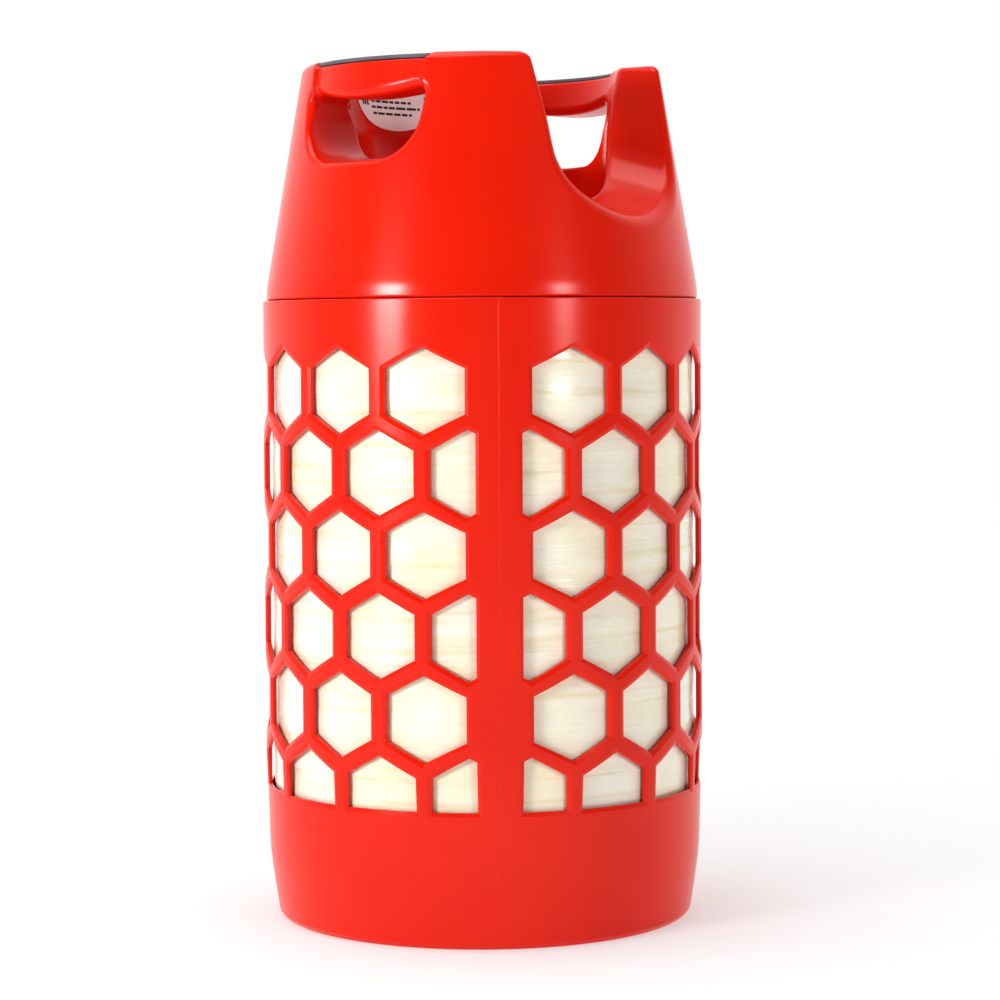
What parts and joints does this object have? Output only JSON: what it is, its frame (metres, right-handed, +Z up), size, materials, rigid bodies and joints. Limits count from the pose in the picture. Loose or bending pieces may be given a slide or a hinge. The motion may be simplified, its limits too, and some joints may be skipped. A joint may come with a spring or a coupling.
{
  "type": "propane tank",
  "caption": "Composite propane cylinder: fibre-wound vessel in a red honeycomb casing, with a two-handled collar, soft grips and a brass handwheel valve in its bowl.",
  "frame": {"origin": "the middle of the base, on the surface that the cylinder stands on", "axes": "+Z up along the cylinder's axis; the valve outlet and the collar's opening face -Y; the two handles are at -X and +X"},
  "size_m": [0.305, 0.305, 0.588],
  "materials": {
    "casing_red": "satin moulded polyethylene",
    "grip_grey": "soft satin",
    "label_white": "matte",
    "wound_fibre": "resin gloss over wound glass fibre",
    "liner_plastic": "natural blow-moulded",
    "brass": "machined",
    "steel": "plated",
    "black_rubber": "matte",
    "handwheel_black": "moulded",
    "cap_black": "moulded"
  },
  "bodies": {
    "cylinder": {"honeycomb_casing": "casing_red", "handle_collar": "casing_red", "left_handle_grip": "grip_grey", "right_handle_grip": "grip_grey", "data_label": "label_white", "fibre_overwrap": "wound_fibre", "inner_liner": "liner_plastic", "neck_boss": "brass", "boss_seal": "black_rubber", "valve_body": "brass", "inlet_o_ring": "black_rubber", "gland_nut": "brass", "spindle_o_ring": "black_rubber", "relief_spring": "steel", "relief_adjuster": "brass"},
    "handwheel": {"handwheel": "handwheel_black", "handwheel_screw": "steel", "spindle": "brass"},
    "seat_plug": {"seat_plug": "brass", "seat_disc": "black_rubber"},
    "outlet_cap": {"outlet_cap": "cap_black", "outlet_gasket": "black_rubber"},
    "relief_poppet": {"relief_poppet": "brass", "relief_seal": "black_rubber"},
    "relief_dust_cap": {"relief_dust_cap": "cap_black"}
  },
  "joints": [
    {"name": "handwheel_turn", "type": "hinge", "parent": "cylinder", "child": "handwheel", "pos_m": [0, 0, 0.545], "axis": [0, 0, 1], "range_deg": [0, 720]},
    {"name": "seat_plug_lift", "type": "slide", "parent": "handwheel", "child": "seat_plug", "axis": [0, 0, 1], "range_m": [0, 0.0025]},
    {"name": "outlet_cap_off", "type": "slide", "parent": "cylinder", "child": "outlet_cap", "axis": [0, -1, 0], "range_m": [0, 0.13]},
    {"name": "relief_lift", "type": "slide", "parent": "cylinder", "child": "relief_poppet", "axis": [0, 1, 0], "range_m": [0, 0.0018], "stiffness_N_per_m": 6000, "springref_m": -0.004, "deforming": ["relief_spring"]},
    {"name": "relief_dust_cap_off", "type": "slide", "parent": "cylinder", "child": "relief_dust_cap", "axis": [0, 1, 0], "range_m": [0, 0.045]}
  ],
  "couplings": [
    {"joint": "seat_plug_lift", "follows": "handwheel_turn", "m_per_rad": 0.00019894}
  ]
}
